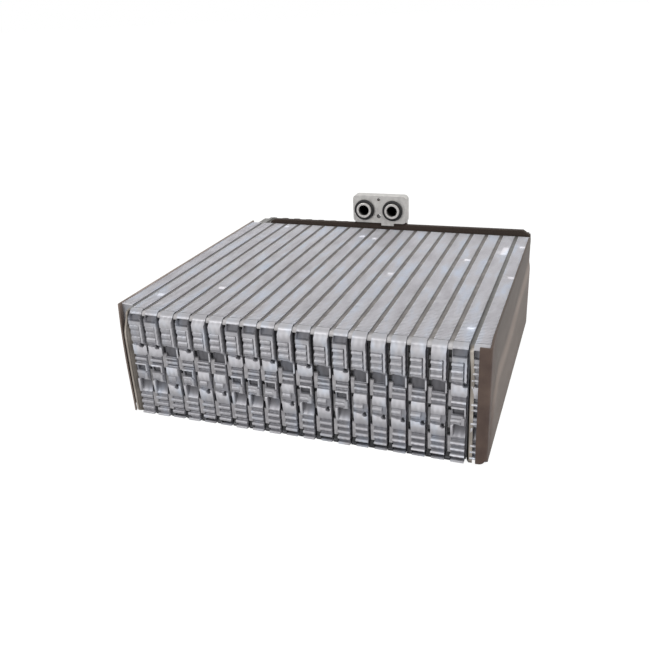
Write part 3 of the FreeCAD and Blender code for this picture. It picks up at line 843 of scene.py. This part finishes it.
up_steps = np.linspace(0.0, 1.0, 44)
sheet_z = lower[:, None] + (upper - lower)[:, None] * up_steps[None, :]
sheet_y = path_y[:, None] + 0 * sheet_z
dent = drawn_in(sheet_y, sheet_z) * (facing[:, None] == 0.0)
shells = [np.stack([(path_x - inside * np.cos(facing))[:, None] - dent,
                    sheet_y + inside * np.sin(facing)[:, None], sheet_z], axis=-1)
          for inside in (0.0, SHEET)]
sheet_piece(shells[0], shells[1], "end_plate_sheet_right", "end_plate_right", panel_hollow_value(sheet_y, sheet_z))
print("right end plate:", sheet_z.shape, "grid")

# %% [markdown]
# ## The left end plate
# Only its front edge is seen. The edge leans forward and inwards towards the foot, to lie along
# the outermost tube's bent lip. Again it is one grid with its thickness given by a second one.

# %% Left end plate as a bent sheet
LEAN_FORWARD = 7.0
LEAN_IN = 5.0
FOOT_Z = 0.6
left_low, left_high = node_box("end_plate_left")
down_share = 1.0 - np.linspace(0.0, 1.0, 30)[None, :]
back_share = np.concatenate([np.linspace(0.0, 0.9, 12), np.linspace(0.905, 1.0, 14)])[:, None]
edge_y = left_low[1] - LEAN_FORWARD * down_share
sheet_y = left_high[1] + (edge_y - left_high[1]) * back_share
foot_z = left_low[2] - (left_low[2] - FOOT_Z) * step(left_low[1], left_low[1] - 6.0, sheet_y)
sheet_z = foot_z + (left_high[2] - foot_z) * (1.0 - down_share)
shift = LEAN_IN * down_share * step(left_low[1] + 0.4, left_low[1] - LEAN_FORWARD, sheet_y)
shells = [np.stack([face_x + shift, sheet_y, sheet_z], axis=-1) for face_x in (left_low[0], left_high[0])]
sheet_piece(shells[0], shells[1], "end_plate_sheet_left", "end_plate_left", np.full(sheet_z.shape, 0.1))
print("left end plate:", sheet_z.shape, "grid")

# %% [markdown]
# ## Block, stubs and seal
# A machined block has small broken edges that catch a line of light, so a merged copy of the CAD
# mesh gets a bevel. Its holes and the stubs' bores are darkened with painted shade by the hollow
# value. The foam strip gets a wider, softer edge in the same way.

# %% Bevelled copies of the machined pieces
def bevelled_copy(name, piece_name, material, width_mm, hollow=None, cuts=()):
    """Merged copy of a CAD node's mesh with a small bevel. A cut gives its holes a ring of points
    just inside their mouths, for the hollow value's painted shade."""
    mesh, places = merged_copy(name, piece_name, material, cuts)
    mark_hollow(mesh, np.zeros(len(places)) if hollow is None else hollow(places))
    break_edges(put_piece(piece_name, mesh, [name]), width_mm)


HOLE_REACH = 2.3
BORE_REACH = 5.2
MOUTH_CUT = 0.9
block_low, block_high = node_box("connector_block")
bores = {side: sum(node_box("port_stub_" + side)) / 2.0 for side in ("left", "right")}
hole_x = (bores["left"][0] + bores["right"][0]) / 2.0


def block_holes(places):
    """Painted shade: 1 in the screw hole, past the block's face, and only 0.25 in the shallow locating hole.
    """
    near = np.abs(places[:, 0] - hole_x) < HOLE_REACH
    deep = step(block_low[1] + 0.4, block_low[1] + 0.8, places[:, 1])
    lower = (places[:, 2] > block_low[2] + 3.0) & (places[:, 2] < block_low[2] + 10.0)
    upper = (places[:, 2] > block_low[2] + 15.0) & (places[:, 2] < block_high[2] - 1.5)
    return near * deep * (lower + 0.25 * upper)


def stub_bore(places):
    """Painted shade: 1 deep in the bore, 0.35 at its mouth and 0 on the outside of the stub."""
    centre = bores["left"] if places[:, 0].mean() < hole_x else bores["right"]
    radius = np.hypot(places[:, 0] - centre[0], places[:, 2] - centre[2])
    mouth = places[:, 1].min()
    return (radius < BORE_REACH) * (0.35 + 0.65 * step(mouth, mouth + 5.0, places[:, 1]))


bevelled_copy("connector_block", "block_detail", block_metal, width_mm=0.5, hollow=block_holes,
              cuts=[(Y, block_low[1] + MOUTH_CUT)])
for side in ("left", "right"):
    bevelled_copy("port_stub_" + side, "port_stub_detail_" + side, tube_metal, width_mm=0.3,
                  hollow=stub_bore)
bevelled_copy("seal_strip", "seal_strip_detail", foam, width_mm=0.6)
print("block holes at x =", round(float(hole_x), 2), "mm")

# %% [markdown]
# ## Rings and pipes
# The O-rings and the pipes are round all through, so they are swept again as smooth surfaces in
# place of the faceted CAD ones. A ring is a circle carried round a closed circle, and a pipe is
# one carried back from the block, round a quarter turn and down to the saddle.

# %% Round sweeps
RING_STEPS = 72
RING_SIDES = 20
PIPE_SIDES = 32
PIPE_TURN = 10.0
PIPE_TURN_STEPS = 20


def swept_round(path, across, up, radius, sides, closed):
    """Circle of the given radius carried along a path: each ring is the path's point plus
    radius times (cosine of across plus sine of up)."""
    a = np.linspace(0, 2 * math.pi, sides, endpoint=False)
    rings = (path[:, None, :] + radius * (np.cos(a)[None, :, None] * across[:, None, :]
                                          + np.sin(a)[None, :, None] * up[:, None, :]))
    n = len(path)
    i, j = np.meshgrid(np.arange(n if closed else n - 1), np.arange(sides), indexing="ij")
    i, j = i.ravel(), j.ravel()
    ni, nj = (i + 1) % n, (j + 1) % sides
    quads = np.stack([i * sides + j, i * sides + nj, ni * sides + nj, ni * sides + j], axis=1).tolist()
    if not closed:
        quads.append(list(range(sides))[::-1])
        quads.append(list(range((n - 1) * sides, n * sides)))
    return rings.reshape(-1, 3), quads


for side in ("left", "right"):
    low, high = node_box("o_ring_" + side)
    centre = (low + high) / 2.0
    section = (high[1] - low[1]) / 2.0
    middle_radius = (high[0] - low[0]) / 2.0 - section
    turn = np.linspace(0, 2 * math.pi, RING_STEPS, endpoint=False)
    out = np.stack([np.cos(turn), 0 * turn, np.sin(turn)], axis=1)
    along = np.tile([0.0, 1.0, 0.0], (RING_STEPS, 1))
    points, faces = swept_round(centre + out * middle_radius, out, along, section, RING_SIDES, True)
    make_piece("o_ring_detail_" + side, points, faces, rubber, ["o_ring_" + side], smooth=True)

    low, high = node_box("pipe_" + side)
    radius = (high[0] - low[0]) / 2.0
    y_end, z_start = high[1] - radius, high[2] - radius
    angle = np.linspace(0, math.pi / 2.0, PIPE_TURN_STEPS)
    y = np.concatenate([[low[1]], y_end - PIPE_TURN + PIPE_TURN * np.sin(angle), [y_end]])
    z = np.concatenate([[z_start], z_start - PIPE_TURN + PIPE_TURN * np.cos(angle), [low[2]]])
    lean = np.concatenate([[0.0], angle, [math.pi / 2.0]])
    path = np.stack([np.full(len(y), low[0] + radius), y, z], axis=1)
    across = np.tile([1.0, 0.0, 0.0], (len(y), 1))
    up = np.stack([0 * lean, np.sin(lean), np.cos(lean)], axis=1)
    points, faces = swept_round(path, across, up, radius, PIPE_SIDES, False)
    # The pipe's front end, seen down the stub's bore, is painted dark as shade.
    hollow = np.zeros(len(points))
    hollow[:PIPE_SIDES] = 1.0
    make_piece("pipe_detail_" + side, points, faces, tube_metal, ["pipe_" + side], smooth=True,
               hollow=hollow)
    print(side, "ring and pipe radius:", round(middle_radius, 2), round(radius, 2), "mm")

# %% [markdown]
# ## Floor, light and camera
# The photograph has a white ground with hardly a shadow. The floor and the world are white to the
# camera and to reflections, but light the core like a plain studio: a lamp above on the right, a
# weaker one in front on the left, and even grey light from all round.

# %% Floor and world
FLOOR_HALF = 30.0
FLOOR_GAP = 0.05
floor_z = (core_low[2] - FLOOR_GAP) * MM
floor_mesh = bpy.data.meshes.new("floor")
floor_mesh.from_pydata([(x * FLOOR_HALF, y * FLOOR_HALF, floor_z)
                        for x, y in ((-1, -1), (1, -1), (1, 1), (-1, 1))], [], [(0, 1, 2, 3)])
floor = bpy.data.objects.new("floor", floor_mesh)
bpy.context.scene.collection.objects.link(floor)

paper = bpy.data.materials.new("white_paper_floor")
paper.use_nodes = True
tree = paper.node_tree
tree.nodes.clear()
ray = add_node(tree, "LightPath")
matt = add_node(tree, "BsdfDiffuse", {"Color": linear("e8e8e8")})
glow = add_node(tree, "Emission", {"Color": grey(1), "Strength": 1.15})
share = math_node(tree, "MULTIPLY", ray.outputs["Is Camera Ray"], 0.80)
mix = add_node(tree, "MixShader", {0: share, 1: matt.outputs[0], 2: glow.outputs[0]})
add_node(tree, "OutputMaterial", {"Surface": mix.outputs[0]})
floor_mesh.materials.append(paper)

world = bpy.data.worlds.new("studio")
bpy.context.scene.world = world
world.use_nodes = True
tree = world.node_tree
tree.nodes.clear()
ray = add_node(tree, "LightPath")
seen = math_node(tree, "MAXIMUM", ray.outputs["Is Camera Ray"], ray.outputs["Is Transmission Ray"])
seen = math_node(tree, "MAXIMUM", seen, ray.outputs["Is Glossy Ray"])
fill = add_node(tree, "Background", {"Color": grey(1), "Strength": 0.70})
white = add_node(tree, "Background", {"Color": grey(1), "Strength": 1.0})
mix = add_node(tree, "MixShader", {0: seen, 1: fill.outputs[0], 2: white.outputs[0]})
add_node(tree, "OutputWorld", {"Surface": mix.outputs[0]})
print("floor at z =", round(float(floor_z) / MM, 2), "mm")


# %% Lamps
def area_lamp(name, place, target, size, power):
    """Square area lamp at a place in metres, facing a target."""
    data = bpy.data.lights.new(name, "AREA")
    data.size = size
    data.energy = power
    lamp = bpy.data.objects.new(name, data)
    bpy.context.scene.collection.objects.link(lamp)
    lamp.location = place
    lamp.rotation_euler = (Vector(target) - Vector(place)).to_track_quat("-Z", "Y").to_euler()


area_lamp("key_right", (0.8, -0.5, 1.0), (0, 0, 0.05), size=0.8, power=8.3)
area_lamp("front_left", (-0.6, -1.1, 0.6), (0, -0.1, 0.05), size=0.6, power=5.0)

# %% Camera
# Place and direction were fitted to the corners of the core in the photograph, frame 650 by 650.
camera_data = bpy.data.cameras.new("camera")
camera_data.sensor_width = 36.0
camera_data.lens = 40.084
camera_data.clip_start = 0.01
camera = bpy.data.objects.new("camera", camera_data)
bpy.context.scene.collection.objects.link(camera)
right = Vector((0.93816, 0.34313, -0.04597))
forward = Vector((-0.33229, 0.85526, -0.39763)).normalized()
up = right.cross(forward).normalized()
right = forward.cross(up).normalized()
place = Vector((0.184897, -0.537468, 0.276008))
camera.matrix_world = Matrix.Translation(place) @ Matrix((right, up, -forward)).transposed().to_4x4()
bpy.context.scene.camera = camera
bpy.context.scene.view_settings.view_transform = "Standard"
print("camera:", round(camera_data.lens, 2), "mm lens")
